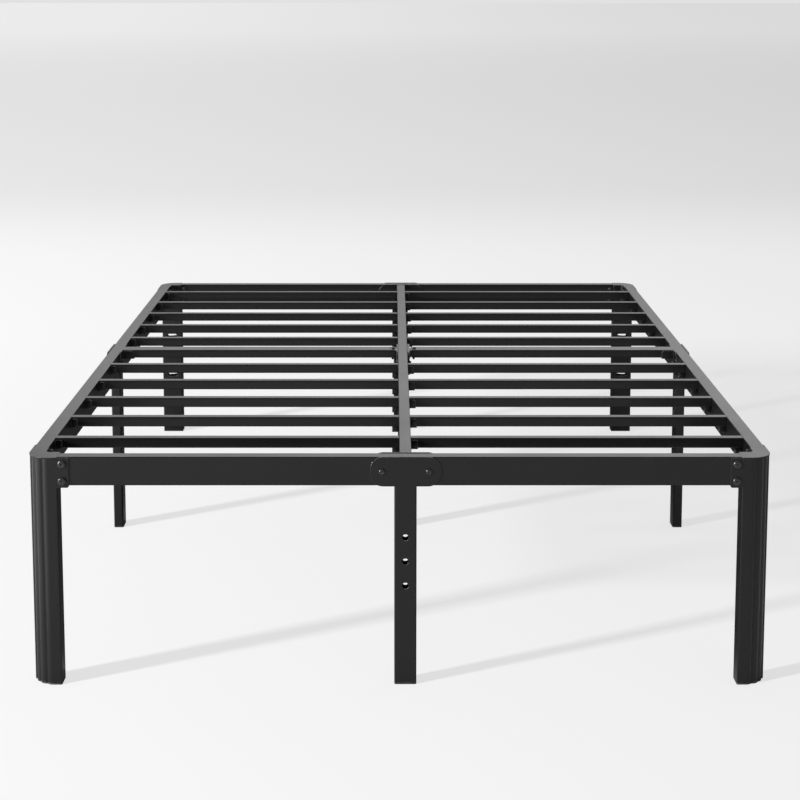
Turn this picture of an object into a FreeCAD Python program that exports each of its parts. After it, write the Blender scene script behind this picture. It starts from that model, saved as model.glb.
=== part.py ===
import FreeCAD, Part
import math
import os

# Metal platform bed frame, sized for a queen mattress.
# Millimetres. +Z is up, X runs across the bed, Y along it with the foot end at -Y.
# The origin lies on the floor, midway between the outer faces of the corner posts.

os.makedirs("parts", exist_ok=True)
V = FreeCAD.Vector
X_AXIS = V(1, 0, 0)
Y_AXIS = V(0, 1, 0)
Z_AXIS = V(0, 0, 1)
tiny = 0.001

# ---- whole frame ----
frame_width = 1524.0
frame_length = 2032.0
deck_height = 485.0
beam_offset = 12.0
crossbeam_offset = 22.0
fit_gap = 0.3

# ---- rectangular steel tubes ----
rail_height = 60.0
rail_thickness = 30.0
rail_wall = 1.5
rail_radius = 2.0
beam_thickness = 25.0
slat_width = 22.0
slat_height = 22.0
slat_wall = 1.2
slat_radius = 2.5
crossbeam_width = 45.0
crossbeam_height = 21.0
crossbeam_wall = 1.5
crossbeam_radius = 3.0
leg_width = 46.0
leg_depth = 25.0
leg_wall = 1.5
leg_radius = 4.0

# ---- corner posts ----
post_width = 62.0
post_depth = 39.0
post_wall = 2.0
post_edge_radius = 3.0
head_reach = 75.0
head_inner_radius = 12.0
corner_radius = 42.5
groove_depth = 4.0
groove_spread = 28.0
front_shoulder_radius = 14.0
side_shoulder_radius = 4.5
lobe_rise = 3.6
cap_thickness = 3.0
cap_overhang = 1.5

# ---- tabs that lap the rails ----
tab_thickness = 2.5
tab_length = 24.0
tab_height = 63.0
side_tab_lap = 9.0
tab_top_drop = 1.0
tab_chamfer = 3.0
tab_bolt_setback = 13.6
tab_bolt_spacing = 36.0

# ---- headboard slots in the rear posts ----
slot_length = 31.0
slot_width = 12.0
slot_from_outer = 31.0
slot_upper_height = 318.0
slot_lower_height = 190.0

# ---- leg plates and joint plates ----
plate_length = 144.0
plate_height = 62.0
plate_thickness = 3.0
plate_corner_radius = 26.0
plate_bolt_spacing = 96.0

# ---- holes in the support legs ----
leg_hole_diameter = 13.5
leg_hole_spacing = 51.5
leg_hole_lowest = 212.0
leg_hole_count = 3
leg_top_plate = 3.0

# ---- slats and their hangers ----
slats_per_half = 5
slat_pitch = 174.0
slat_first = 162.0
hanger_reach = 15.0
hanger_sheet = 2.0
hanger_drop = 3.5
hanger_corner = 3.0

# ---- saddles under the outer ends of the crossbeams ----
saddle_reach = 30.0
saddle_sheet = 2.0
saddle_drop = 1.5
saddle_corner = 4.0

# ---- stubs that carry the inner ends of the crossbeams ----
stub_length = 40.0
stub_wall = 2.0
stub_show = 5.0
stub_bolt_from_plate = 11.0

# ---- fasteners ----
corner_bolt_diameter = 8.0
corner_bolt_head = 18.5
corner_bolt_head_height = 4.6
plate_bolt_diameter = 8.0
plate_bolt_head = 13.6
plate_bolt_head_height = 4.0
stub_bolt_diameter = 6.0
stub_bolt_head = 13.0
stub_bolt_head_height = 3.2
stub_bolt_below = 8.5
bolt_past_nut = 2.0
bolt_hole_clearance = 0.6
nut_thread_clearance = 0.2
nut_flats_ratio = 1.625
nut_height_ratio = 0.8
rim_ratio = 0.35
crown_ratio = 0.6

# ---- plastic feet ----
foot_lip = 3.0
foot_plug = 14.0

# ---- derived places ----
half_width = frame_width / 2
half_length = frame_length / 2
rail_bottom = deck_height - rail_height
rail_middle = deck_height - rail_height / 2
rail_outer_x = half_width
rail_outer_y = half_length - tab_thickness
rail_inner_x = rail_outer_x - rail_thickness
rail_inner_y = rail_outer_y - rail_thickness
beam_left = beam_offset - beam_thickness / 2
beam_right = beam_offset + beam_thickness / 2
post_top = deck_height - cap_thickness
tab_top = deck_height - tab_top_drop
tab_middle = tab_top - tab_height / 2
bolt_rows = [tab_middle - tab_bolt_spacing / 2, tab_middle + tab_bolt_spacing / 2]
tab_bolt_x = half_width - post_width - tab_length + tab_bolt_setback
tab_bolt_y = half_length - head_reach - tab_length + tab_bolt_setback
slat_places = [slat_first + slat_pitch * i for i in range(slats_per_half)]
slat_lines = [-y for y in reversed(slat_places)] + slat_places


def save(name, shape):
    """Write one node of the assembly."""
    if not shape.isValid():
        raise ValueError(name + " is not a valid shape")
    shape.exportStep("parts/" + name + ".step")


def block(x0, x1, y0, y1, z0, z1):
    return Part.makeBox(x1 - x0, y1 - y0, z1 - z0, V(x0, y0, z0))


def rounded_block(x0, x1, y0, y1, z0, z1, axis, radius):
    """Box whose four edges parallel to axis are rounded."""
    box = block(x0, x1, y0, y1, z0, z1)
    edges = [e for e in box.Edges if e.tangentAt(e.FirstParameter).cross(axis).Length < tiny]
    return box.makeFillet(radius, edges)


def tube(x0, x1, y0, y1, z0, z1, axis, wall, radius):
    """Rectangular tube open at both ends, running along axis."""
    outer = rounded_block(x0, x1, y0, y1, z0, z1, axis, radius)
    wx = 0 if axis == X_AXIS else wall
    wy = 0 if axis == Y_AXIS else wall
    wz = 0 if axis == Z_AXIS else wall
    bore = rounded_block(x0 + wx, x1 - wx, y0 + wy, y1 - wy, z0 + wz, z1 - wz, axis, radius - wall)
    return outer.cut(bore)


def bore_along(axis, centre, diameter, length):
    """Cylinder centred on a point, longer than the walls that it cuts through."""
    start = centre - axis * (length / 2)
    return Part.makeCylinder(diameter / 2, length, start, axis)


# ---------------------------------------------------------------- corner posts

def groove_point(angle):
    """Bottom of a groove, on a circle just inside the rounded corner."""
    radius = corner_radius - groove_depth
    a = math.radians(angle)
    return V(corner_radius - radius * math.cos(a), corner_radius - radius * math.sin(a), 0)


def shoulder(low, radius):
    """Rounded shoulder from the flat side to the first groove, and where it starts."""
    run = math.sqrt(radius ** 2 - (radius - low.x) ** 2)
    centre = V(radius, low.y + run, 0)
    start = V(0, centre.y, 0)
    outward = (start - centre).normalize() + (low - centre).normalize()
    crest = centre + outward.normalize() * radius
    return Part.Arc(start, crest, low).toShape(), start


def lobe_between(first, second):
    """Convex lobe from one groove to the next."""
    middle = (first + second) * 0.5
    outward = (middle - V(corner_radius, corner_radius, 0)).normalize()
    return Part.Arc(first, middle + outward * lobe_rise, second).toShape()


def fluted_corner():
    """Edges round the outer corner: a shoulder, two lobes and the other shoulder."""
    low = groove_point(45 - groove_spread)
    side, side_start = shoulder(low, side_shoulder_radius)
    front, front_start = shoulder(low, front_shoulder_radius)
    lobe = lobe_between(low, groove_point(45))
    diagonal = V(1, -1, 0)
    mirrored = [e.mirror(V(0, 0, 0), diagonal) for e in (lobe, front)]
    return [side, lobe] + mirrored, side_start, V(front_start.y, 0, 0)


def round_turn(before, corner, after, radius):
    """Rounded right-angled turn of an outline, with its two tangent points."""
    a = corner + (before - corner).normalize() * radius
    b = corner + (after - corner).normalize() * radius
    centre = a + b - corner
    crest = centre + (corner - centre).normalize() * radius
    return a, Part.Arc(a, crest, b).toShape(), b


def outline_from(corners, radii):
    """Closed outline: the fluted outer corner at the origin, then straight runs with rounded turns."""
    fluted, first, last = fluted_corner()
    stops = [first] + corners + [last]
    edges = list(fluted)
    here = first
    for i, radius in enumerate(radii):
        a, arc, b = round_turn(stops[i], stops[i + 1], stops[i + 2], radius)
        edges += [Part.makeLine(here, a), arc]
        here = b
    edges.append(Part.makeLine(here, last))
    return Part.Wire(Part.__sortEdges__(edges))


def post_outline():
    """Section of a post below its head: a box with one fluted corner."""
    corners = [V(0, post_depth, 0), V(post_width, post_depth, 0), V(post_width, 0, 0)]
    return outline_from(corners, [post_edge_radius] * 3)


def head_outline():
    """Section of the head at rail height, with an arm that turns along the side rail."""
    arm = rail_thickness
    corners = [
        V(0, head_reach, 0),
        V(arm, head_reach, 0),
        V(arm, post_depth, 0),
        V(post_width, post_depth, 0),
        V(post_width, 0, 0),
    ]
    radii = [post_edge_radius] * 2 + [head_inner_radius] + [post_edge_radius] * 2
    return outline_from(corners, radii)


def prism(wire, z0, z1):
    face = Part.Face(wire)
    face.translate(V(0, 0, z0))
    return face.extrude(V(0, 0, z1 - z0))


def hollow_prism(outline, z0, z1):
    """Upright sheet-metal shell, open at both ends."""
    inside = outline.makeOffset2D(-post_wall)
    return prism(outline, z0, z1).cut(prism(inside, z0, z1))


def post_tab(root, end, y):
    """Flat tab along X that laps the end of a rail, its outer face at y."""
    low = tab_top - tab_height
    tab = block(root, end, y, y + tab_thickness, low, tab_top)
    low_edge = [e for e in tab.Edges if e.CenterOfMass.x > end - tiny and e.CenterOfMass.z < low + tiny]
    return tab.makeChamfer(tab_chamfer, low_edge)


def headboard_slot(height):
    """Horizontal round-ended cutter through the two wide walls of a post."""
    r = slot_width / 2
    x0 = slot_from_outer - slot_length / 2 + r
    x1 = slot_from_outer + slot_length / 2 - r
    reach = post_depth + 2 * post_wall
    ends = [Part.makeCylinder(r, reach, V(x, -post_wall, height), Y_AXIS) for x in (x0, x1)]
    return block(x0, x1, -post_wall, reach - post_wall, height - r, height + r).fuse(ends)


def corner_post(with_slots):
    """Foot-end left post; the others are its mirror images."""
    leg = hollow_prism(post_outline(), foot_lip, rail_bottom)
    head = hollow_prism(head_outline(), rail_bottom, post_top)
    front_tab = post_tab(post_width - 2 * post_edge_radius, post_width + tab_length, 0)
    side_tab = post_tab(head_reach - side_tab_lap, head_reach + tab_length, -tab_thickness)
    side_tab = side_tab.mirror(V(0, 0, 0), V(1, -1, 0))
    post = leg.fuse([head, front_tab, side_tab]).cut(post_cap())
    hole = corner_bolt_diameter + bolt_hole_clearance
    for z in bolt_rows:
        front = V(half_width - tab_bolt_x, 0, z)
        side = V(0, half_length - tab_bolt_y, z)
        post = post.cut(bore_along(Y_AXIS, front, hole, 4 * tab_thickness))
        post = post.cut(bore_along(X_AXIS, side, hole, 4 * tab_thickness))
    if with_slots:
        for height in (slot_upper_height, slot_lower_height):
            post = post.cut(headboard_slot(height))
    return post.removeSplitter()


def post_cap():
    """Flat plate that closes the head of a post and stands a little proud of it."""
    r = corner_radius
    o = cap_overhang
    x = rail_thickness + o
    y = post_depth + o
    side = V(-o, r, 0)
    front = V(r, -o, 0)
    reach = (r + o) / math.sqrt(2)
    a, inner, b = round_turn(V(x, head_reach, 0), V(x, y, 0), V(post_width, y, 0), head_inner_radius - o)
    edges = [
        Part.Arc(side, V(r - reach, r - reach, 0), front).toShape(),
        Part.makeLine(front, V(post_width, -o, 0)),
        Part.makeLine(V(post_width, -o, 0), V(post_width, y, 0)),
        Part.makeLine(V(post_width, y, 0), b),
        inner,
        Part.makeLine(a, V(x, head_reach, 0)),
        Part.makeLine(V(x, head_reach, 0), V(-o, head_reach, 0)),
        Part.makeLine(V(-o, head_reach, 0), side),
    ]
    return prism(Part.Wire(Part.__sortEdges__(edges)), post_top, deck_height)


def post_foot():
    """Plastic foot with a plug that fits the hollow of the post."""
    outline = post_outline()
    plug = outline.makeOffset2D(-post_wall - fit_gap)
    return prism(outline, 0, foot_lip).fuse(prism(plug, foot_lip, foot_plug))


def at_corner(shape, side, end):
    """Move a piece modelled at the origin to a corner, mirrored where needed."""
    placed = shape.copy()
    placed.translate(V(-half_width, -half_length, 0))
    if side == "right":
        placed = placed.mirror(V(0, 0, 0), X_AXIS)
    if end == "rear":
        placed = placed.mirror(V(0, 0, 0), Y_AXIS)
    return placed


def make_corners():
    plain = corner_post(False)
    slotted = corner_post(True)
    cap = post_cap()
    foot = post_foot()
    feet = []
    for end in ("front", "rear"):
        for side in ("left", "right"):
            name = end + "_" + side
            post = slotted if end == "rear" else plain
            save("corner_post_" + name, at_corner(post, side, end))
            save("post_cap_" + name, at_corner(cap, side, end))
            feet.append(at_corner(foot, side, end))
    save("corner_post_feet", Part.makeCompound(feet))


# ----------------------------------------------------------------------- rails

def cross_rail(x0, x1, plate_bolt_x, tab_bolt):
    """Half of the foot-end rail, from a corner post to the joint over the leg."""
    rail = tube(
        x0, x1, -rail_outer_y, -rail_inner_y, rail_bottom, deck_height,
        X_AXIS, rail_wall, rail_radius)
    y = -(rail_outer_y + rail_inner_y) / 2
    reach = 2 * rail_thickness
    for z in bolt_rows:
        hole = corner_bolt_diameter + bolt_hole_clearance
        rail = rail.cut(bore_along(Y_AXIS, V(tab_bolt, y, z), hole, reach))
    hole = plate_bolt_diameter + bolt_hole_clearance
    return rail.cut(bore_along(Y_AXIS, V(plate_bolt_x, y, rail_middle), hole, reach))


def side_rail(y0, y1, plate_bolt_y, tab_bolt):
    """Half of the left rail, from a corner post to the joint over the side leg."""
    rail = tube(
        -rail_outer_x, -rail_inner_x, y0, y1, rail_bottom, deck_height,
        Y_AXIS, rail_wall, rail_radius)
    x = -(rail_outer_x + rail_inner_x) / 2
    reach = 2 * rail_thickness
    for z in bolt_rows:
        hole = corner_bolt_diameter + bolt_hole_clearance
        rail = rail.cut(bore_along(X_AXIS, V(x, tab_bolt, z), hole, reach))
    hole = plate_bolt_diameter + bolt_hole_clearance
    return rail.cut(bore_along(X_AXIS, V(x, plate_bolt_y, rail_middle), hole, reach))


def make_rails():
    half_bolts = plate_bolt_spacing / 2
    end_x = half_width - post_width - fit_gap
    end_y = half_length - head_reach - fit_gap
    left = cross_rail(-end_x, beam_offset, beam_offset - half_bolts, -tab_bolt_x)
    right = cross_rail(beam_offset, end_x, beam_offset + half_bolts, tab_bolt_x)
    save("front_rail_left", left)
    save("front_rail_right", right)
    save("rear_rail_left", left.mirror(V(0, 0, 0), Y_AXIS))
    save("rear_rail_right", right.mirror(V(0, 0, 0), Y_AXIS))
    front = side_rail(-end_y, crossbeam_offset, crossbeam_offset - half_bolts, -tab_bolt_y)
    rear = side_rail(crossbeam_offset, end_y, crossbeam_offset + half_bolts, tab_bolt_y)
    save("left_rail_front", front)
    save("left_rail_rear", rear)
    save("right_rail_front", front.mirror(V(0, 0, 0), X_AXIS))
    save("right_rail_rear", rear.mirror(V(0, 0, 0), X_AXIS))


# ------------------------------------------------------ plates, beam, crossbeams

def cradle(root, tip, y, half, floor, top, sheet, corner):
    """U-shaped sheet, open at the top and welded on at root, with cut corners at the tip."""
    x0 = min(root, tip)
    x1 = max(root, tip)
    outer = block(x0, x1, y - half - sheet, y + half + sheet, floor - sheet, top)
    tip_edge = [
        e for e in outer.Edges
        if abs(e.CenterOfMass.x - tip) < tiny and e.CenterOfMass.z > top - tiny]
    outer = outer.makeChamfer(corner, tip_edge)
    return outer.cut(block(x0, x1, y - half, y + half, floor, deck_height))


def joint_plate():
    """Rounded plate in the XZ plane, its back at y = 0, centred on the origin."""
    plate = rounded_block(
        -plate_length / 2, plate_length / 2, -plate_thickness, 0,
        -plate_height / 2, plate_height / 2, Y_AXIS, plate_corner_radius)
    hole = plate_bolt_diameter + bolt_hole_clearance
    for x in (-plate_bolt_spacing / 2, plate_bolt_spacing / 2):
        plate = plate.cut(bore_along(Y_AXIS, V(x, 0, 0), hole, 4 * plate_thickness))
    return plate


def turned(shape, degrees, place):
    """Turn about the vertical through the origin, then move."""
    moved = shape.copy()
    moved.rotate(V(0, 0, 0), Z_AXIS, degrees)
    moved.translate(place)
    return moved


def make_beam():
    """Lengthwise beam in two halves, each with the plate that bolts it to an end rail."""
    half_bolts = plate_bolt_spacing / 2
    face = rail_inner_y - plate_thickness
    hole = plate_bolt_diameter + bolt_hole_clearance
    halves = [
        ("front", -face, crossbeam_offset, crossbeam_offset - half_bolts),
        ("rear", crossbeam_offset, face, crossbeam_offset + half_bolts),
    ]
    for name, y0, y1, bolt_y in halves:
        half = tube(
            beam_left, beam_right, y0, y1, rail_bottom, deck_height,
            Y_AXIS, rail_wall, rail_radius)
        bolt_hole = bore_along(X_AXIS, V(beam_offset, bolt_y, rail_middle), hole, 2 * beam_thickness)
        half = half.cut(bolt_hole)
        if name == "front":
            plate = turned(joint_plate(), 0, V(beam_offset, -face, rail_middle))
        else:
            plate = turned(joint_plate(), 180, V(beam_offset, face, rail_middle))
        save("centre_beam_" + name, half.fuse(plate))


def make_crossbeams():
    """Two crossbeams with their rail plates, and the stub plates that bolt to the beam."""
    half = crossbeam_width / 2
    low = deck_height - crossbeam_height
    y0 = crossbeam_offset - half
    y1 = crossbeam_offset + half
    outer_face = rail_inner_x - plate_thickness
    left_face = beam_left - plate_thickness
    right_face = beam_right + 2 * plate_thickness
    places = [
        ("left", -outer_face, left_face, -1, 90),
        ("right", outer_face, right_face, 1, -90),
    ]
    for name, rail_face, stub_face, side, turn in places:
        end = stub_face + side * stub_show
        beam = tube(
            min(rail_face, end), max(rail_face, end), y0, y1, low, deck_height,
            X_AXIS, crossbeam_wall, crossbeam_radius)
        bolt_x = stub_face + side * stub_bolt_from_plate
        bolt_at = V(bolt_x, crossbeam_offset, deck_height)
        hole = bore_along(Z_AXIS, bolt_at, stub_bolt_diameter + bolt_hole_clearance, 4 * crossbeam_height)
        rail_plate = turned(joint_plate(), -turn, V(rail_face, crossbeam_offset, rail_middle))
        saddle_tip = rail_face - side * saddle_reach
        saddle_top = deck_height - saddle_drop
        saddle = cradle(
            rail_face, saddle_tip, crossbeam_offset, half, low, saddle_top,
            saddle_sheet, saddle_corner)
        save("crossbeam_" + name, beam.cut(hole).fuse([rail_plate, saddle]))
        inset = crossbeam_wall + fit_gap
        tip = stub_face + side * stub_length
        stub = tube(
            min(stub_face, tip), max(stub_face, tip), y0 + inset, y1 - inset,
            low + inset, deck_height - inset, X_AXIS, stub_wall, stub_wall + fit_gap)
        plate = turned(joint_plate(), turn, V(stub_face, crossbeam_offset, rail_middle))
        save("stub_plate_" + name, stub.cut(hole).fuse(plate))


# ------------------------------------------------------------------------ legs

def support_leg():
    """Leg with its plate at the back of y = 0, standing on the origin."""
    half = leg_width / 2
    top = rail_bottom - leg_top_plate
    leg = tube(-half, half, 0, leg_depth, foot_lip, top, Z_AXIS, leg_wall, leg_radius)
    lid = rounded_block(-half, half, 0, leg_depth, top, rail_bottom, Z_AXIS, leg_radius)
    for i in range(leg_hole_count):
        centre = V(0, leg_depth / 2, leg_hole_lowest + i * leg_hole_spacing)
        leg = leg.cut(bore_along(Y_AXIS, centre, leg_hole_diameter, 2 * leg_depth))
    plate = turned(joint_plate(), 0, V(0, 0, rail_middle))
    return leg.fuse([lid, plate]).removeSplitter()


def leg_foot():
    """Plastic foot of a support leg."""
    half = leg_width / 2
    inset = leg_wall + fit_gap
    lip = rounded_block(-half, half, 0, leg_depth, 0, foot_lip, Z_AXIS, leg_radius)
    plug = rounded_block(
        -half + inset, half - inset, inset, leg_depth - inset,
        foot_lip, foot_plug, Z_AXIS, leg_radius - leg_wall)
    return lip.fuse(plug)


def make_legs():
    leg = support_leg()
    foot = leg_foot()
    places = [
        ("centre_leg_front", 0, V(beam_offset, -rail_outer_y, 0)),
        ("centre_leg_rear", 180, V(beam_offset, rail_outer_y, 0)),
        ("centre_leg_middle", 90, V(beam_right, crossbeam_offset, 0)),
        ("side_leg_left", -90, V(-rail_outer_x, crossbeam_offset, 0)),
        ("side_leg_right", 90, V(rail_outer_x, crossbeam_offset, 0)),
    ]
    feet = []
    for name, degrees, place in places:
        save(name, turned(leg, degrees, place))
        feet.append(turned(foot, degrees, place))
    save("support_leg_feet", Part.makeCompound(feet))


# ----------------------------------------------------------------------- slats

def hanger(root, tip, y):
    """Hanger that holds the end of a slat."""
    half = slat_width / 2 + fit_gap
    floor = deck_height - slat_height - fit_gap
    top = deck_height - hanger_drop
    return cradle(root, tip, y, half, floor, top, hanger_sheet, hanger_corner)


def make_slats():
    low = deck_height - slat_height
    spans = [
        ("left", -rail_inner_x, beam_left),
        ("right", beam_right, rail_inner_x),
    ]
    for side, x0, x1 in spans:
        for number, y in enumerate(slat_lines, 1):
            slat = tube(
                x0 + fit_gap, x1 - fit_gap, y - slat_width / 2, y + slat_width / 2,
                low, deck_height, X_AXIS, slat_wall, slat_radius)
            save("slat_%s_%02d" % (side, number), slat)
    rows = [
        ("left_rail", -rail_inner_x, hanger_reach - rail_inner_x),
        ("beam_left", beam_left, beam_left - hanger_reach),
        ("beam_right", beam_right, beam_right + hanger_reach),
        ("right_rail", rail_inner_x, rail_inner_x - hanger_reach),
    ]
    for name, root, tip in rows:
        hangers = [hanger(root, tip, y) for y in slat_lines]
        save("slat_hangers_" + name, Part.makeCompound(hangers))


# ------------------------------------------------------------------- fasteners

def bolt(diameter, head, head_height, length):
    """Button-head bolt: the underside of the head at the origin, the shank along +Z."""
    rim = head_height * rim_ratio
    crown = head * crown_ratio / 2
    profile = [
        V(0, 0, length),
        V(diameter / 2, 0, length),
        V(diameter / 2, 0, 0),
        V(head / 2, 0, 0),
        V(head / 2, 0, -rim),
        V(crown, 0, -head_height),
        V(0, 0, -head_height),
        V(0, 0, length),
    ]
    face = Part.Face(Part.makePolygon(profile))
    return face.revolve(V(0, 0, 0), Z_AXIS, 360)


def nut(diameter):
    """Hexagon nut standing on the origin along +Z."""
    radius = diameter * nut_flats_ratio / math.sqrt(3)
    corners = [
        V(radius * math.cos(math.radians(a)), radius * math.sin(math.radians(a)), 0)
        for a in range(0, 361, 60)
    ]
    body = prism(Part.makePolygon(corners), 0, diameter * nut_height_ratio)
    thread = diameter + nut_thread_clearance
    return body.cut(bore_along(Z_AXIS, V(0, 0, 0), thread, 4 * diameter))


def aimed(shape, direction, place):
    """Turn a piece made along +Z to run along a direction from a place."""
    moved = shape.copy()
    moved.Placement = FreeCAD.Placement(place, FreeCAD.Rotation(Z_AXIS, direction))
    return moved


def bolt_and_nut(diameter, head, head_height, grip):
    length = grip + diameter * nut_height_ratio + bolt_past_nut
    return bolt(diameter, head, head_height, length), nut(diameter), grip


def make_fasteners():
    corner = bolt_and_nut(
        corner_bolt_diameter, corner_bolt_head, corner_bolt_head_height,
        tab_thickness + rail_thickness)
    spots = []
    for z in bolt_rows:
        for sx in (-1, 1):
            for sy in (-1, 1):
                spots.append((V(sx * tab_bolt_x, sy * half_length, z), V(0, -sy, 0)))
                face_x = half_width + tab_thickness
                spots.append((V(sx * face_x, sy * tab_bolt_y, z), V(-sx, 0, 0)))
    save_fasteners("corner", corner, spots)
    rail = bolt_and_nut(
        plate_bolt_diameter, plate_bolt_head, plate_bolt_head_height,
        2 * plate_thickness + rail_thickness)
    spots = []
    for shift in (-plate_bolt_spacing / 2, plate_bolt_spacing / 2):
        for s in (-1, 1):
            face_y = rail_outer_y + plate_thickness
            face_x = rail_outer_x + plate_thickness
            spots.append((V(beam_offset + shift, s * face_y, rail_middle), V(0, -s, 0)))
            spots.append((V(s * face_x, crossbeam_offset + shift, rail_middle), V(-s, 0, 0)))
    save_fasteners("leg_plate", rail, spots)
    middle = bolt_and_nut(
        plate_bolt_diameter, plate_bolt_head, plate_bolt_head_height,
        3 * plate_thickness + beam_thickness)
    face_x = beam_right + 2 * plate_thickness
    spots = []
    for shift in (-plate_bolt_spacing / 2, plate_bolt_spacing / 2):
        spots.append((V(face_x, crossbeam_offset + shift, rail_middle), V(-1, 0, 0)))
    save_fasteners("beam_joint", middle, spots)
    pin = bolt(
        stub_bolt_diameter, stub_bolt_head, stub_bolt_head_height,
        crossbeam_height + stub_bolt_below)
    left_x = beam_left - plate_thickness - stub_bolt_from_plate
    right_x = beam_right + 2 * plate_thickness + stub_bolt_from_plate
    pins = [aimed(pin, V(0, 0, -1), V(x, crossbeam_offset, deck_height)) for x in (left_x, right_x)]
    save("crossbeam_bolts", Part.makeCompound(pins))


def save_fasteners(name, kind, spots):
    """Group of equal bolts, and the group of their nuts."""
    screw, hex_nut, grip = kind
    bolts = [aimed(screw, direction, place) for place, direction in spots]
    nuts = [aimed(hex_nut, direction, place + direction * grip) for place, direction in spots]
    save(name + "_bolts", Part.makeCompound(bolts))
    save(name + "_nuts", Part.makeCompound(nuts))


make_corners()
make_rails()
make_beam()
make_crossbeams()
make_legs()
make_slats()
make_fasteners()
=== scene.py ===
import math

import bmesh
import bpy
from mathutils import Matrix, Vector


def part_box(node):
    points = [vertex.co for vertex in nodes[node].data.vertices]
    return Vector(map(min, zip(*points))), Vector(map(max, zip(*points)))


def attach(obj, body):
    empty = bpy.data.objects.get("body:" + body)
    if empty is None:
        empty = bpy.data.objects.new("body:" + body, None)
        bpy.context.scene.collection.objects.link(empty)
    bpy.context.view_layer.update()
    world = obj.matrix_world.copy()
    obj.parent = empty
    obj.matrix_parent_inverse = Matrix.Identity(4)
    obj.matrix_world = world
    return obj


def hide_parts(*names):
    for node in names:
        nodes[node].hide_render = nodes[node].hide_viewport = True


# A bolted bed frame of powder-coated steel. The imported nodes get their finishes, and the screws,
# nuts and slat hangers are modelled anew in the place of plain ones, with a weld at each hanger.

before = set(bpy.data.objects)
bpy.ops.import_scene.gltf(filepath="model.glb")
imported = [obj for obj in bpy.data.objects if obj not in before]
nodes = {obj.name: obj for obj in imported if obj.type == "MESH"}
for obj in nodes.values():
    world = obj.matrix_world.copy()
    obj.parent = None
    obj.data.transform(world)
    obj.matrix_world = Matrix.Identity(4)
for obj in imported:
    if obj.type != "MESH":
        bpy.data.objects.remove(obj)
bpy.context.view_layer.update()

mm = 0.001

# ---- picking corners and edges: what counts as level with a place, and as along an axis ----
near = 0.01 * mm
straight = 0.9

# ---- screws and nuts ----
corner_head = 18.5 * mm
corner_head_height = 4.6 * mm
corner_grip = 32.5 * mm
corner_hole_inset = 13.6 * mm
plate_head = 13.6 * mm
plate_head_height = 4.0 * mm
plate_grip = 36.0 * mm
plate_hole_inset = 24.0 * mm
joint_grip = 34.0 * mm
large_shank = 8.0 * mm
pin_head = 13.0 * mm
pin_head_height = 3.2 * mm
pin_shank = 6.0 * mm
screw_past_nut = 2.0 * mm
thread_pitch = 1.25 * mm
thread_turns = 3
thread_root = 0.86
shank_tip = 0.75
head_sides = 24
# shares of the head's radius and height, from the seat to the crown
head_profile = ((1.0, 0.0), (1.0, 0.24), (0.96, 0.52), (0.88, 0.76), (0.76, 0.92), (0.62, 1.0))
drive_sides = 6
drive_size = 0.30
drive_depth = 0.62
nut_sides = 6
nut_flats = 13.0 * mm
nut_height = 6.4 * mm
nut_corner = 0.55 * mm
nut_corner_steps = 2
nut_face = 0.9 * mm
nut_sink = 0.8 * mm
nut_sink_depth = 0.7 * mm
turned_angle = 40

# ---- slat hangers ----
hanger_sheet = 2.0 * mm
hanger_corner = 3.0 * mm
hanger_bend = 2.6 * mm
hanger_edge = 0.45 * mm
rounding_steps = 3
sharp_angle = 40
folded_angle = 35

# ---- welds at the roots of the hangers ----
weld_leg = 1.6 * mm
weld_edge = 0.5 * mm
weld_pitch = 2.4 * mm
waves_per_pitch = 0.3
weld_wander = 2.5
weld_ripple = 0.6
weld_ripple_height = 0.3 * mm

# ---- powder coat ----
coat_inputs = {
    "Place": "Vector", "Dark": "Color", "Light": "Color", "Smooth": "Float", "Rough": "Float",
    "Peel": "Float", "Edge": "Float", "Highlight_and_wear": "Color"}
coat_outputs = {"Color": "Color", "Roughness": "Float", "Normal": "Vector"}
steel_coat = {
    "dark": 0.003, "light": 0.005, "smooth": 0.26, "rough": 0.32, "peel": 0.3, "level": 0.5}
peel_scale = 420.0
peel_detail = 2.0
peel_height = 0.2 * mm
cloud_scale = 9.0
cloud_detail = 4.0
chip_scale = 160.0
chip_detail = 6.0
chip_start = 0.35
chip_full = 0.60
chip_least = 0.35
# rounded edges are lightened: partly rubbed paint, partly a painted highlight where light catches the
# rims
highlight_and_wear_start = 0.99
highlight_and_wear_full = 0.80
underside = -0.1
topside = 0.5
underside_highlight_and_wear = 0.12
edge_samples = 6
edge_radius = 1.6 * mm
edge_highlight_and_wear = 0.22
# hangers get wider, lighter rims: a painted highlight along with the rubbed paint
rim_radius = 3.0 * mm
rim_highlight_and_wear = 0.45

# ---- camera ----
camera_place = (-0.014, -4.293, 1.428)
camera_lens = 74.36
camera_pitch = math.radians(7.2)
camera_shift_x = 0.009
camera_shift_y = -0.25

# ---- floor, as the eye sees it ----
floor_reach = 400.0
floor_roughness = 0.9
floor_grey = 0.93
floor_glow = 0.70
near_glow = 0.94
far_glow = 0.985
glow_start = 0.2
glow_end = 3.0
# painted dimming of the floor's glow far back
far_dimming_start = 4.2
far_dimming_end = 8.0
far_dimming = 0.86
back_start = 14.0
back_end = 60.0
back_glow = 1.13
side_far = 25.0
side_slope = 0.2
left_glow = 1.10
right_glow = 0.90

# ---- floor, as the coat mirrors it: painted shade under the bed, painted light to its left ----
under_half = 0.66
under_soft = 0.15
under_start = -1.1
under_end = -0.8
under_shade = 0.14
left_start = -1.5
left_end = -0.9
front_start = -2.4
front_end = -1.7
open_shade = 0.62

# ---- room ----
room_grey = 0.76
sky_level = 0.35
sky_left = 0.30
sky_right = 0.63
sky_side = 0.5
sky_behind_camera = 0.25
sky_front = 0.4

# ---- lamps ----
key_place = (-13.5, -7.8, 4.5)
key_aim = (0, 0, 0.2)
key_width = 1.0
key_height = 2.4
key_power = 4680.0
strip_place = (0.65, 6.0, 2.5)
strip_aim = (0, 0, 0.4)
strip_width = 6.5
strip_height = 1.2
strip_power = 28.5


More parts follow.
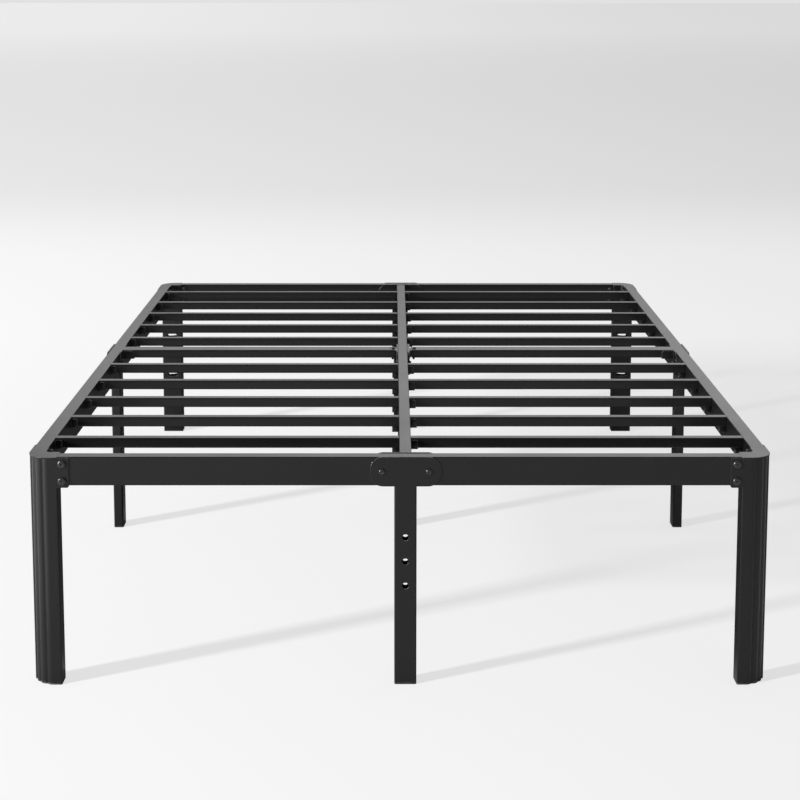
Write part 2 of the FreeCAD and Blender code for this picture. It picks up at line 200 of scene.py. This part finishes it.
def material(name):
    """Empty node material with its Principled shader and its Object coordinates."""
    finish = bpy.data.materials.new(name)
    finish.use_nodes = True
    tree = finish.node_tree
    shader = tree.nodes["Principled BSDF"]
    place = tree.nodes.new("ShaderNodeTexCoord").outputs["Object"]
    return finish, tree, shader, place


def feed(tree, value, entry):
    """Links another node's output to a socket, or sets the socket to a number or a colour."""
    if isinstance(value, bpy.types.NodeSocket):
        tree.links.new(value, entry)
    else:
        entry.default_value = value


def add_node(tree, kind, inputs, **settings):
    """New shader node with its settings and the named inputs fed."""
    node = tree.nodes.new("ShaderNode" + kind)
    for name, value in settings.items():
        setattr(node, name, value)
    for name, value in inputs.items():
        feed(tree, value, node.inputs[name])
    return node


def arith(tree, operation, *values):
    """One step of arithmetic; a value is a number or another node's output."""
    node = add_node(tree, "Math", {}, operation=operation)
    for value, entry in zip(values, node.inputs):
        feed(tree, value, entry)
    return node.outputs["Value"]


def ramp(tree, value, low, high, at_low, at_high):
    """Smooth change from one number to another as a value grows from low to high."""
    limits = {"From Min": low, "From Max": high, "To Min": at_low, "To Max": at_high}
    node = add_node(tree, "MapRange", {"Value": value, **limits}, interpolation_type="SMOOTHSTEP")
    return node.outputs["Result"]


def noise(tree, place, scale, detail):
    node = add_node(tree, "TexNoise", {"Vector": place, "Scale": scale, "Detail": detail})
    return node.outputs["Fac"]


def blend(tree, share, one, other):
    """Colour between two others, by a share from 0 to 1."""
    node = add_node(tree, "Mix", {"Factor": share, "A": one, "B": other}, data_type="RGBA")
    return node.outputs["Result"]


def raised(tree, height, strength, distance, skin):
    """Normal of a skin that a pattern raises."""
    inputs = {"Height": height, "Strength": strength, "Distance": distance, "Normal": skin}
    return add_node(tree, "Bump", inputs).outputs["Normal"]


def parts_of(tree, vector):
    return add_node(tree, "SeparateXYZ", {"Vector": vector}).outputs


def edge_highlight_and_wear_mask(tree, skin, chips):
    """Where rounded edges are lightened, partly rubbed paint and partly a painted highlight: on
    rounded edges, in chips, and least on the underside.
    """
    plain = tree.nodes.new("ShaderNodeNewGeometry").outputs["Normal"]
    agree = add_node(tree, "VectorMath", {}, operation="DOT_PRODUCT")
    feed(tree, skin, agree.inputs[0])
    feed(tree, plain, agree.inputs[1])
    edge = ramp(tree, agree.outputs["Value"], highlight_and_wear_start, highlight_and_wear_full, 0.0, 1.0)
    chipped = ramp(tree, chips, chip_start, chip_full, chip_least, 1.0)
    # edges that face up get more of the lighter colour: painted highlight where light falls on them
    upward = ramp(tree, parts_of(tree, skin)["Z"], underside, topside, underside_highlight_and_wear, 1.0)
    return arith(tree, "MULTIPLY", arith(tree, "MULTIPLY", edge, chipped), upward)


def powder_coat_group():
    """Orange-peel skin of baked powder paint, rounded at its edges, where a lighter colour stands for
    rubbed paint and a painted highlight.
    """
    tree = bpy.data.node_groups.new("powder_coat", "ShaderNodeTree")
    for way, sockets in (("INPUT", coat_inputs), ("OUTPUT", coat_outputs)):
        for name, kind in sockets.items():
            tree.interface.new_socket(name=name, in_out=way, socket_type="NodeSocket" + kind)
    into = tree.nodes.new("NodeGroupInput").outputs
    out = tree.nodes.new("NodeGroupOutput").inputs
    peel = noise(tree, into["Place"], peel_scale, peel_detail)
    cloud = noise(tree, into["Place"], cloud_scale, cloud_detail)
    chips = noise(tree, into["Place"], chip_scale, chip_detail)
    rounded = add_node(tree, "Bevel", {"Radius": into["Edge"]}, samples=edge_samples)
    skin = rounded.outputs["Normal"]
    paint = blend(tree, cloud, into["Dark"], into["Light"])
    # mask of the lightened edges: painted highlight and rubbed paint
    highlight_and_wear = edge_highlight_and_wear_mask(tree, skin, chips)
    gloss = add_node(
        tree, "MapRange", {"Value": cloud, "To Min": into["Smooth"], "To Max": into["Rough"]})
    feed(tree, blend(tree, highlight_and_wear, paint, into["Highlight_and_wear"]), out["Color"])
    feed(tree, gloss.outputs["Result"], out["Roughness"])
    feed(tree, raised(tree, peel, into["Peel"], peel_height, skin), out["Normal"])
    return tree


def chosen(tree, share, one, other):
    """One shader or another, by a share from 0 to 1."""
    node = add_node(tree, "MixShader", {"Fac": share})
    feed(tree, one, node.inputs[1])
    feed(tree, other, node.inputs[2])
    return node.outputs["Shader"]


def grey(level):
    return (level, level, level, 1)


def coated(name, dark, light, smooth, rough, peel, level, edge=edge_radius, highlight_and_wear=edge_highlight_and_wear):
    """Painted or moulded finish made from the powder coat group."""
    finish, tree, shader, place = material(name)
    coat = tree.nodes.new("ShaderNodeGroup")
    coat.node_tree = powder_coat
    feed(tree, place, coat.inputs["Place"])
    feed(tree, grey(dark), coat.inputs["Dark"])
    feed(tree, grey(light), coat.inputs["Light"])
    feed(tree, smooth, coat.inputs["Smooth"])
    feed(tree, rough, coat.inputs["Rough"])
    feed(tree, peel, coat.inputs["Peel"])
    feed(tree, edge, coat.inputs["Edge"])
    # colour of the lightened edges: painted highlight and rubbed paint
    feed(tree, grey(highlight_and_wear), coat.inputs["Highlight_and_wear"])
    feed(tree, coat.outputs["Color"], shader.inputs["Base Color"])
    feed(tree, coat.outputs["Roughness"], shader.inputs["Roughness"])
    feed(tree, coat.outputs["Normal"], shader.inputs["Normal"])
    shader.inputs["Specular IOR Level"].default_value = level
    return finish


def weld_coat():
    """Painted weld: a coat over a bead whose ripples show through."""
    finish = coated(
        "painted_weld", dark=0.003, light=0.006, smooth=0.28, rough=0.40, peel=0.3, level=0.5)
    tree = finish.node_tree
    entry = tree.nodes["Principled BSDF"].inputs["Normal"]
    skin = entry.links[0].from_socket
    place = tree.nodes.new("ShaderNodeTexCoord").outputs["Object"]
    ripple = add_node(
        tree, "TexWave",
        {"Vector": place, "Scale": waves_per_pitch / weld_pitch, "Distortion": weld_wander},
        bands_direction="DIAGONAL")
    lifted = raised(tree, ripple.outputs["Fac"], weld_ripple, weld_ripple_height, skin)
    feed(tree, lifted, entry)
    return finish


def assign(thing, finish):
    thing.data.materials.clear()
    thing.data.materials.append(finish)


powder_coat = powder_coat_group()
steel_finish = coated("black_powder_coat", **steel_coat)
# hangers: wider rims with a lighter painted highlight and rubbed paint
hanger_finish = coated("black_hanger_coat", **steel_coat, edge=rim_radius, highlight_and_wear=rim_highlight_and_wear)
weld_finish = weld_coat()
bolt_finish = coated(
    "black_bolt_steel", dark=0.010, light=0.018, smooth=0.24, rough=0.32, peel=0.1, level=0.6)
foot_finish = coated(
    "black_foot_plastic", dark=0.012, light=0.020, smooth=0.5, rough=0.65, peel=0.3, level=0.4)


def dress_frame():
    """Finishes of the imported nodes: hardware, plastic feet, and coated steel for the rest."""
    for name, thing in nodes.items():
        if name.endswith("bolts") or name.endswith("nuts"):
            assign(thing, bolt_finish)
        elif name.endswith("feet"):
            assign(thing, foot_finish)
        else:
            assign(thing, steel_finish)


def begin(add, **size):
    """New primitive, alone in edit mode with all of it selected."""
    bpy.ops.object.select_all(action="DESELECT")
    add(**size)
    bpy.ops.object.mode_set(mode="EDIT")
    return bpy.context.object


def pick_corners(test):
    """Selects the corners whose place passes a test, and the edges and faces between them."""
    bpy.ops.mesh.select_mode(type="VERT")
    bpy.ops.mesh.select_all(action="DESELECT")
    shape = bmesh.from_edit_mesh(bpy.context.object.data)
    for corner in shape.verts:
        corner.select_set(test(corner.co))
    shape.select_flush(True)
    bmesh.update_edit_mesh(bpy.context.object.data)


def pick_edges(test):
    """Selects the edges whose middle and direction pass a test."""
    bpy.ops.mesh.select_mode(type="EDGE")
    bpy.ops.mesh.select_all(action="DESELECT")
    shape = bmesh.from_edit_mesh(bpy.context.object.data)
    for edge in shape.edges:
        a, b = (corner.co for corner in edge.verts)
        if test((a + b) / 2, (b - a).normalized()):
            edge.select_set(True)
    bmesh.update_edit_mesh(bpy.context.object.data)


def carry(rings):
    """Draws the selected rim on through a list of (radius, height)."""
    for (r0, z0), (r1, z1) in zip(rings, rings[1:]):
        bpy.ops.mesh.extrude_region_move(TRANSFORM_OT_translate={"value": (0, 0, z1 - z0)})
        bpy.ops.transform.resize(value=(r1 / r0, r1 / r0, 1))


def close_up():
    """Faces outwards, back to object mode."""
    bpy.ops.mesh.select_mode(type="VERT")
    bpy.ops.mesh.select_all(action="SELECT")
    bpy.ops.mesh.normals_make_consistent(inside=False)
    bpy.ops.object.mode_set(mode="OBJECT")


def smooth(degrees):
    bpy.ops.object.shade_smooth_by_angle(angle=math.radians(degrees))


def model_screw(head, head_height, shank, length):
    """Button-head screw with a hexagon socket; seat at the origin, head up, shank down."""
    radius = head / 2
    screw = begin(bpy.ops.mesh.primitive_circle_add, vertices=head_sides, radius=radius)
    rings = [(radius * r, head_height * z) for r, z in head_profile]
    carry(rings)
    bpy.ops.mesh.primitive_circle_add(
        vertices=drive_sides, radius=radius * drive_size, location=(0, 0, head_height))
    pick_corners(lambda c: c.z > head_height - near)
    bpy.ops.mesh.bridge_edge_loops()
    pick_corners(lambda c: c.z > head_height - near and c.xy.length < radius * drive_size + near)
    carry([(1, 0), (1, -drive_depth * head_height)])
    bpy.ops.mesh.edge_face_add()
    pick_corners(lambda c: abs(c.z) < near and c.xy.length > radius - near)
    core = shank / 2
    end = -length
    shank_rings = [(radius, 0), (core, 0), (core, end + (thread_turns + 1) * thread_pitch)]
    for turn in range(thread_turns, 0, -1):
        shank_rings.append((core * thread_root, end + (turn + 0.5) * thread_pitch))
        shank_rings.append((core, end + turn * thread_pitch))
    shank_rings.append((core * shank_tip, end))
    carry(shank_rings)
    bpy.ops.mesh.edge_face_add()
    close_up()
    smooth(turned_angle)
    return screw


def model_nut():
    """Hexagon nut with rounded corners and a countersunk thread; seat at the origin."""
    nut = begin(
        bpy.ops.mesh.primitive_cylinder_add, vertices=nut_sides, radius=nut_flats / math.sqrt(3),
        depth=nut_height, location=(0, 0, nut_height / 2))
    bpy.ops.mesh.bevel(offset=nut_corner, segments=nut_corner_steps, affect="EDGES")
    pick_corners(lambda c: c.z > nut_height - near)
    bpy.ops.mesh.inset(thickness=nut_face)
    bpy.ops.mesh.inset(thickness=nut_sink, depth=-nut_sink_depth)
    close_up()
    bpy.ops.object.transform_apply(location=True, rotation=True, scale=True)
    smooth(turned_angle)
    return nut


def model_hanger(reach, half, height, bend, sheet, corner, rounding):
    """Bent U of sheet, open at the top; root at x = 0, floor at z = 0, tip along +X."""
    hanger = begin(bpy.ops.mesh.primitive_plane_add, size=1)
    bpy.ops.transform.resize(value=(reach, 2 * half, 1))
    bpy.ops.transform.translate(value=(reach / 2, 0, 0))
    pick_edges(lambda middle, way: abs(way.x) > straight)
    bpy.ops.mesh.extrude_region_move(TRANSFORM_OT_translate={"value": (0, 0, height)})
    pick_edges(lambda middle, way: abs(way.x) > straight and middle.z < near)
    bpy.ops.mesh.bevel(offset=bend, segments=rounding_steps, affect="EDGES")
    bpy.ops.mesh.select_all(action="SELECT")
    bpy.ops.mesh.bisect(
        plane_co=(reach, 0, height - corner), plane_no=(1, 0, 1), clear_outer=True)
    close_up()
    wall = hanger.modifiers.new("wall", "SOLIDIFY")
    wall.thickness = sheet
    wall.offset = -1
    wall.use_even_offset = True
    bpy.ops.object.modifier_apply(modifier="wall")
    edge = hanger.modifiers.new("edge", "BEVEL")
    edge.width = rounding
    edge.segments = rounding_steps
    edge.limit_method = "ANGLE"
    edge.angle_limit = math.radians(sharp_angle)
    bpy.ops.object.modifier_apply(modifier="edge")
    smooth(folded_angle)
    return hanger


def copy_to(model, place, way, up=(0, 0, 1)):
    """Copy of a model with its own mesh; its axis up is turned to point along way."""
    bpy.ops.object.select_all(action="DESELECT")
    model.select_set(True)
    bpy.context.view_layer.objects.active = model
    bpy.ops.object.duplicate()
    copy = bpy.context.object
    turn = Vector(up).rotation_difference(Vector(way)).to_matrix().to_4x4()
    copy.data.transform(Matrix.Translation(Vector(place)) @ turn)
    return copy


def gather(name, copies, finish, record_slot, *replaced):
    """Joins copies into one named piece that stands for some CAD nodes."""
    bpy.ops.object.select_all(action="DESELECT")
    for copy in copies:
        copy.select_set(True)
    bpy.context.view_layer.objects.active = copies[0]
    bpy.ops.object.join()
    piece = bpy.context.object
    piece.name = name
    assign(piece, finish)
    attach(piece, "root")
    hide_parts(*replaced)


def middle_of(node):
    low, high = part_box(node)
    return (low + high) / 2


def corner_spots():
    """(seat, way out) of the screws through the corner posts' tabs into the rails."""
    low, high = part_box("corner_bolts")
    tab_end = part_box("corner_post_front_left")[1]
    x = abs(tab_end.x) + corner_hole_inset
    y = abs(tab_end.y) + corner_hole_inset
    seat_x = high.x - corner_head_height
    seat_y = high.y - corner_head_height
    spots = []
    for z in (low.z + corner_head / 2, high.z - corner_head / 2):
        for sx in (-1, 1):
            for sy in (-1, 1):
                spots.append(((sx * x, sy * seat_y, z), (0, sy, 0)))
                spots.append(((sx * seat_x, sy * y, z), (sx, 0, 0)))
    return spots


def plate_spots():
    """(seat, way out) of the screws through the legs' plates and the rails."""
    low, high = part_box("leg_plate_bolts")
    plate_low, plate_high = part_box("centre_leg_front")
    reach = (plate_high.x - plate_low.x) / 2 - plate_hole_inset
    x = middle_of("centre_leg_front").x
    y = middle_of("side_leg_left").y
    z = (low.z + high.z) / 2
    spots = []
    for shift in (-reach, reach):
        for s in (-1, 1):
            spots.append(((x + shift, s * (high.y - plate_head_height), z), (0, s, 0)))
            spots.append(((s * (high.x - plate_head_height), y + shift, z), (s, 0, 0)))
    return spots


def joint_spots():
    """(seat, way out) of the screws that join the two halves of the centre beam."""
    low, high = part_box("beam_joint_bolts")
    z = (low.z + high.z) / 2
    x = high.x - plate_head_height
    return [((x, y, z), (1, 0, 0)) for y in (low.y + plate_head / 2, high.y - plate_head / 2)]


def pin_spots():
    """(seat, way out) of the screws that drop through the crossbeams' inner ends."""
    low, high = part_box("crossbeam_bolts")
    y = (low.y + high.y) / 2
    z = high.z - pin_head_height
    return [((x, y, z), (0, 0, 1)) for x in (low.x + pin_head / 2, high.x - pin_head / 2)]


def make_fasteners():
    """Screws and nuts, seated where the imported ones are."""
    nut = model_nut()
    kinds = [
        ("corner", corner_head, corner_head_height, corner_grip, corner_spots()),
        ("leg_plate", plate_head, plate_head_height, plate_grip, plate_spots()),
        ("beam_joint", plate_head, plate_head_height, joint_grip, joint_spots()),
    ]
    for name, head, height, grip, spots in kinds:
        length = grip + nut_height + screw_past_nut
        screw = model_screw(head, height, large_shank, length)
        screws = [copy_to(screw, seat, way) for seat, way in spots]
        gather(name + "_socket_screws", screws, bolt_finish, "fastener", name + "_bolts")
        nuts = [
            copy_to(nut, Vector(seat) - Vector(way) * grip, -Vector(way)) for seat, way in spots]
        gather(name + "_hexagon_nuts", nuts, bolt_finish, "fastener", name + "_nuts")
        bpy.data.objects.remove(screw)
    bpy.data.objects.remove(nut)
    low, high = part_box("crossbeam_bolts")
    pin = model_screw(pin_head, pin_head_height, pin_shank, high.z - pin_head_height - low.z)
    pins = [copy_to(pin, seat, way) for seat, way in pin_spots()]
    gather("crossbeam_socket_screws", pins, bolt_finish, "fastener", "crossbeam_bolts")
    bpy.data.objects.remove(pin)


def make_hangers():
    """Slat hangers of bent sheet, each with a weld round its root."""
    slats = [name for name in nodes if name.startswith("slat_left")]
    rows = sorted(middle_of(name).y for name in slats)
    for name in ("left_rail", "beam_left", "beam_right", "right_rail"):
        node = "slat_hangers_" + name
        low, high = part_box(node)
        half = rows[0] - low.y
        height = high.z - low.z
        hanger = model_hanger(
            high.x - low.x, half, height, hanger_bend, hanger_sheet, hanger_corner, hanger_edge)
        weld = model_hanger(
            weld_leg, half + weld_leg, height + weld_leg - hanger_corner,
            hanger_bend + weld_leg, weld_leg, weld_edge, weld_edge)
        to_right = name in ("left_rail", "beam_right")
        root = low.x if to_right else high.x
        way = (1, 0, 0) if to_right else (-1, 0, 0)
        copies = [copy_to(hanger, (root, y, low.z), way, (1, 0, 0)) for y in rows]
        gather("bent_hangers_" + name, copies, hanger_finish, "frame", node)
        beads = [copy_to(weld, (root, y, low.z - weld_leg), way, (1, 0, 0)) for y in rows]
        gather("hanger_welds_" + name, beads, weld_finish, "frame")
        bpy.data.objects.remove(hanger)
        bpy.data.objects.remove(weld)


def glow_of_floor(tree, x, y):
    """Brightness of the floor's painted glow for the eye: dimmer far back, and less light to the
    right.
    """
    spread = ramp(tree, y, glow_start, glow_end, near_glow, far_glow)
    # painted dimming of the glow far back
    far_dimmed = ramp(tree, y, far_dimming_start, far_dimming_end, 1.0, far_dimming)
    back = ramp(tree, y, back_start, back_end, 1.0, back_glow)
    depth = arith(tree, "ADD", arith(tree, "MAXIMUM", y, 0.0), side_far)
    slope = arith(tree, "DIVIDE", x, depth)
    across = ramp(tree, slope, -side_slope, side_slope, left_glow, right_glow)
    along = arith(tree, "MULTIPLY", spread, arith(tree, "MULTIPLY", far_dimmed, back))
    return arith(tree, "MULTIPLY", along, across)


def mirrored_shade(tree, x, y):
    """Share of the floor's grey in reflections, painted shade and light: least under and behind the
    bed, most to its left.
    """
    beside = ramp(
        tree, arith(tree, "ABSOLUTE", x), under_half, under_half + under_soft, under_shade, 1.0)
    before = ramp(tree, y, under_start, under_end, 1.0, under_shade)
    to_left = ramp(tree, x, left_start, left_end, 1.0, open_shade)
    to_front = ramp(tree, y, front_start, front_end, 0.0, 1.0)
    lit_side = arith(tree, "MAXIMUM", open_shade, arith(tree, "MULTIPLY", to_left, to_front))
    return arith(tree, "MULTIPLY", arith(tree, "MAXIMUM", beside, before), lit_side)


def floor_material():
    """Matt pale floor that glows a little for the eye, so that the shadows on it stay light."""
    finish, tree, shader, place = material("pale_floor")
    shader.inputs["Roughness"].default_value = floor_roughness
    shader.inputs["Specular IOR Level"].default_value = 0.0
    split = parts_of(tree, place)
    ray = tree.nodes.new("ShaderNodeLightPath")
    # in reflections the floor's colour is painted: darker under and behind the bed as painted shade,
    # lighter to its left as painted light
    shade = mirrored_shade(tree, split["X"], split["Y"])
    lost = arith(tree, "MULTIPLY", ray.outputs["Is Glossy Ray"], arith(tree, "SUBTRACT", 1.0, shade))
    tone = arith(tree, "MULTIPLY", arith(tree, "SUBTRACT", 1.0, lost), floor_grey)
    grey_tone = add_node(tree, "CombineColor", {"Red": tone, "Green": tone, "Blue": tone})
    feed(tree, grey_tone.outputs["Color"], shader.inputs["Base Color"])
    glow = add_node(tree, "Emission", {"Strength": glow_of_floor(tree, split["X"], split["Y"])})
    share = arith(tree, "MULTIPLY", ray.outputs["Is Camera Ray"], floor_glow)
    surface = chosen(tree, share, shader.outputs["BSDF"], glow.outputs["Emission"])
    feed(tree, surface, tree.nodes["Material Output"].inputs["Surface"])
    return finish


def make_floor():
    bpy.ops.object.select_all(action="DESELECT")
    bpy.ops.mesh.primitive_plane_add(size=floor_reach)
    floor = bpy.context.object
    floor.name = "floor"
    assign(floor, floor_material())


def area_light(name, place, target, width, height, power, lights_surfaces=True):
    """Softbox that the camera doesn't see; without lights_surfaces it shows in gloss only."""
    lamp = bpy.data.lights.new(name, "AREA")
    lamp.shape = "RECTANGLE"
    lamp.size = width
    lamp.size_y = height
    lamp.energy = power
    thing = bpy.data.objects.new(name, lamp)
    thing.location = place
    aim = Vector(target) - Vector(place)
    thing.rotation_euler = aim.to_track_quat("-Z", "Y").to_euler()
    thing.visible_camera = False
    thing.visible_diffuse = lights_surfaces
    bpy.context.scene.collection.objects.link(thing)


def sky(tree, strength):
    return add_node(tree, "Background", {"Color": grey(1), "Strength": strength}).outputs["Background"]


def make_world():
    """Pale room: plain for the eye, even as light, and brighter at back and right in reflections."""
    world = bpy.data.worlds.new("studio")
    world.use_nodes = True
    bpy.context.scene.world = world
    tree = world.node_tree
    way = parts_of(tree, tree.nodes.new("ShaderNodeTexCoord").outputs["Generated"])
    across = ramp(tree, way["X"], -sky_side, sky_side, sky_left, sky_right)
    along = ramp(tree, way["Y"], -sky_front, sky_front, sky_behind_camera, 1.0)
    mirrored = sky(tree, arith(tree, "MULTIPLY", across, along))
    ray = tree.nodes.new("ShaderNodeLightPath")
    unseen = chosen(tree, ray.outputs["Is Glossy Ray"], sky(tree, sky_level), mirrored)
    whole = chosen(tree, ray.outputs["Is Camera Ray"], unseen, sky(tree, room_grey))
    feed(tree, whole, tree.nodes["World Output"].inputs["Surface"])


def make_lights():
    area_light("key", key_place, key_aim, key_width, key_height, key_power)
    area_light(
        "strip", strip_place, strip_aim, strip_width, strip_height, strip_power,
        lights_surfaces=False)


def make_camera():
    lens = bpy.data.cameras.new("camera")
    lens.lens = camera_lens
    lens.shift_x = camera_shift_x
    lens.shift_y = camera_shift_y
    camera = bpy.data.objects.new("camera", lens)
    camera.location = camera_place
    camera.rotation_euler = (math.pi / 2 - camera_pitch, 0, 0)
    bpy.context.scene.collection.objects.link(camera)
    bpy.context.scene.camera = camera


dress_frame()
make_fasteners()
make_hangers()
make_floor()
make_world()
make_lights()
make_camera()

bpy.context.scene.view_settings.view_transform = "Standard"
